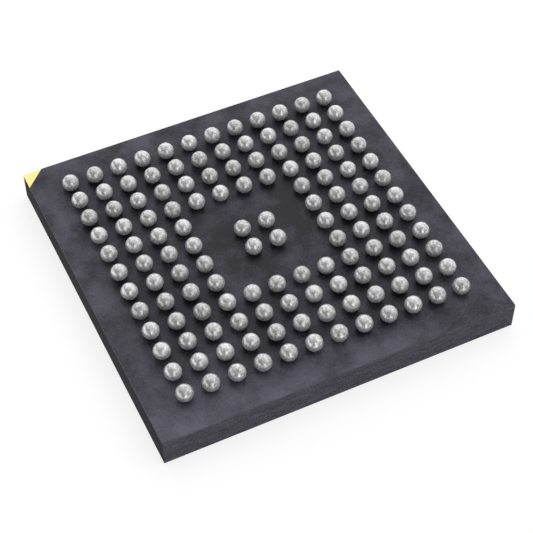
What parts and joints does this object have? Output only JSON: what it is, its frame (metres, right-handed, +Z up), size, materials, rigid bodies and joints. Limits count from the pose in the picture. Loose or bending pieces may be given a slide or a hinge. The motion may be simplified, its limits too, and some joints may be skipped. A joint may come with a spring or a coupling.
{
  "type": "ball grid array chip",
  "caption": "Square ball grid array chip package that lies on its dark moulded face, with silver solder balls up and a gold corner mark",
  "frame": {"origin": "Middle of the flat moulded face that the chip lies on", "axes": "+Z points up, out of the solder balls. +X runs along the rows' letters, from row A on. +Y runs from column 12 towards column 1, so the corner mark at ball A1 is at -X and +Y"},
  "size_m": [0.007, 0.007, 0.0009],
  "materials": {
    "moulding_compound": "satin",
    "solder_mask": "satin",
    "laminate": "matt",
    "solder": "satin",
    "gold": "satin",
    "copper": "satin",
    "silicon": "polished",
    "adhesive_film": "matt"
  },
  "bodies": {
    "root": {"mould_cap": "moulding_compound", "silicon_die": "silicon", "die_attach_film": "adhesive_film", "bond_wires": "gold", "bond_fingers": "copper", "die_copper_plane": "copper", "die_side_mask": "solder_mask", "substrate_core": "laminate", "via_posts": "copper", "ball_lands": "copper", "ball_side_mask": "solder_mask", "a1_corner_mark": "gold", "solder_balls_row_a": "solder", "solder_balls_row_b": "solder", "solder_balls_row_c": "solder", "solder_balls_row_d": "solder", "solder_balls_row_e": "solder", "solder_balls_row_f": "solder", "solder_balls_row_g": "solder", "solder_balls_row_h": "solder", "solder_balls_row_j": "solder", "solder_balls_row_k": "solder", "solder_balls_row_l": "solder", "solder_balls_row_m": "solder"}
  },
  "joints": []
}
